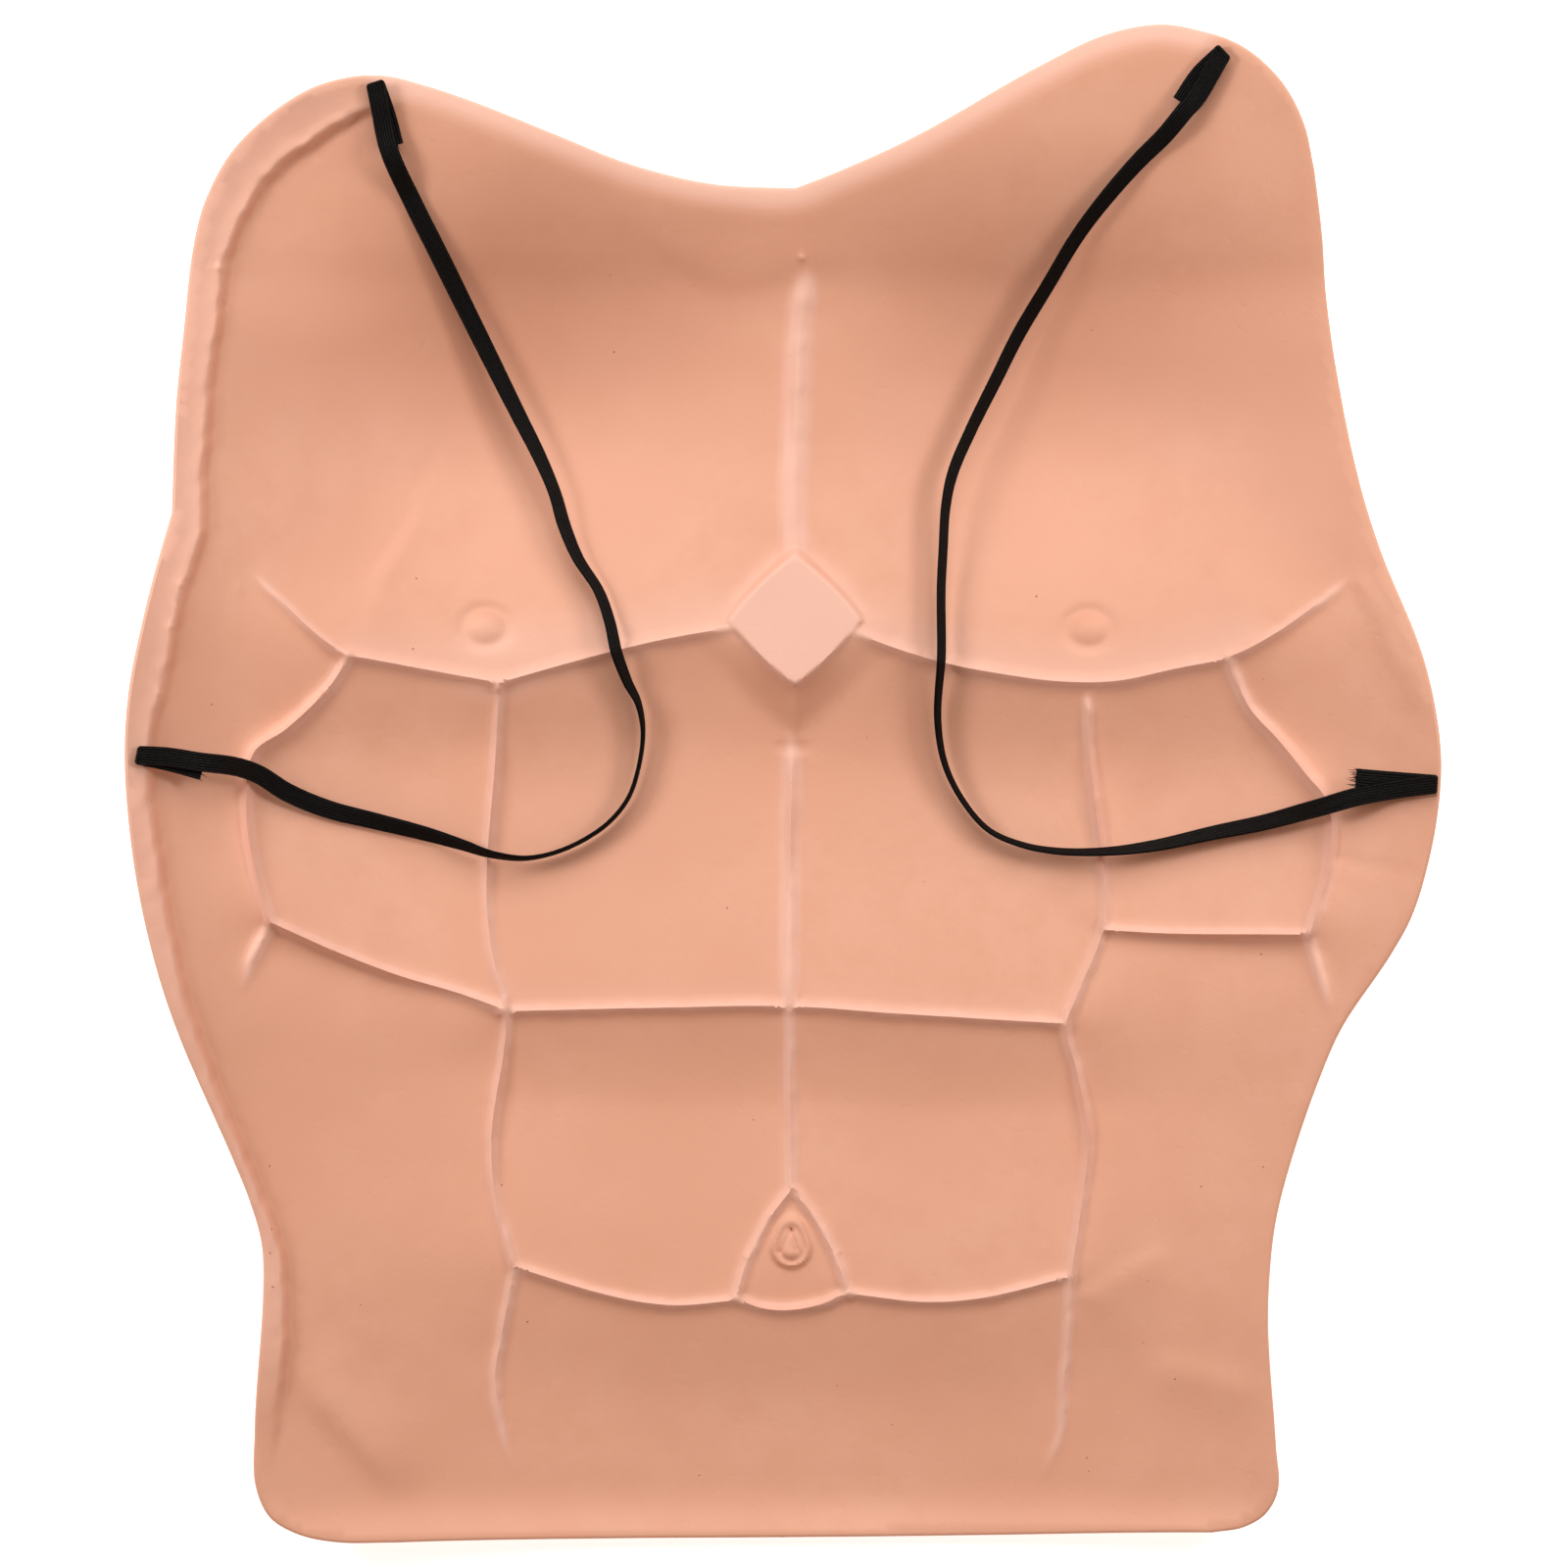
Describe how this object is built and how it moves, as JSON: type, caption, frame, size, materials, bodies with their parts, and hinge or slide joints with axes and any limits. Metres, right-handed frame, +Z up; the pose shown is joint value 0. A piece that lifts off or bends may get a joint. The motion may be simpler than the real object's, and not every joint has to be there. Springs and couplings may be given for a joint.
{
  "type": "costume muscle chest plate",
  "caption": "Thin foam torso shell moulded with chest and belly muscles, lying on its front with its hollow inside up, with two loose flat elastic straps.",
  "frame": {"origin": "on the ground under the middle of the panel's box", "axes": "+Z up out of the hollow, +Y towards the neck, +X to the right of someone looking into the hollow"},
  "size_m": [0.4124, 0.4824, 0.0652],
  "materials": {
    "foam": "matte skin-coloured closed-cell EVA foam with a faint sheen and fine pits",
    "elastic": "black braided flat elastic, fine ribs along its length",
    "glue": "thin pad of set hot-melt glue, hidden under a strap end"
  },
  "bodies": {
    "root": {"foam_panel": "foam", "left_strap": "elastic", "right_strap": "elastic", "left_shoulder_glue_pad": "glue", "left_side_glue_pad": "glue", "right_shoulder_glue_pad": "glue", "right_side_glue_pad": "glue"}
  },
  "joints": []
}
